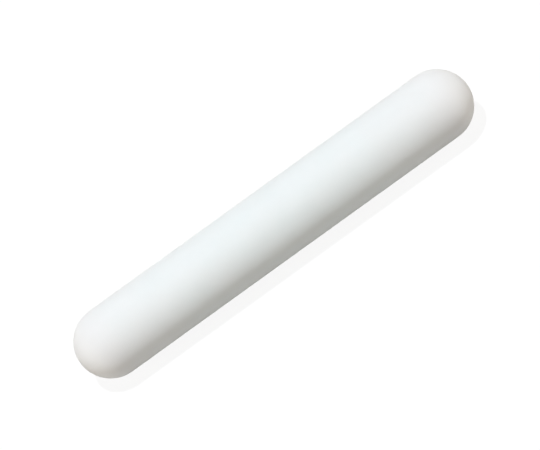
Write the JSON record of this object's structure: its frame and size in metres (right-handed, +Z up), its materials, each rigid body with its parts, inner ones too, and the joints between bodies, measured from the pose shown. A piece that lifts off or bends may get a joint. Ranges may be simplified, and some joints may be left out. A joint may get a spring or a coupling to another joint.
{
  "type": "magnetic stir bar",
  "caption": "Straight magnetic stir bar: a smooth white PTFE rod with hemispherical ends, moulded seamless around a cylindrical bar magnet.",
  "frame": {"origin": "middle of the bar, on its axis", "axes": "+X along the bar, +Z up as it lies on a surface; the bar is round, so the turn about X is free"},
  "size_m": [0.0508, 0.008, 0.008],
  "materials": {
    "ptfe": "smooth waxy white, satin rather than glossy, with a faint cool tint where the magnet lies under it",
    "alnico": "ground dull grey metal"
  },
  "bodies": {
    "root": {"ptfe_jacket": "ptfe", "bar_magnet": "alnico"}
  },
  "joints": []
}
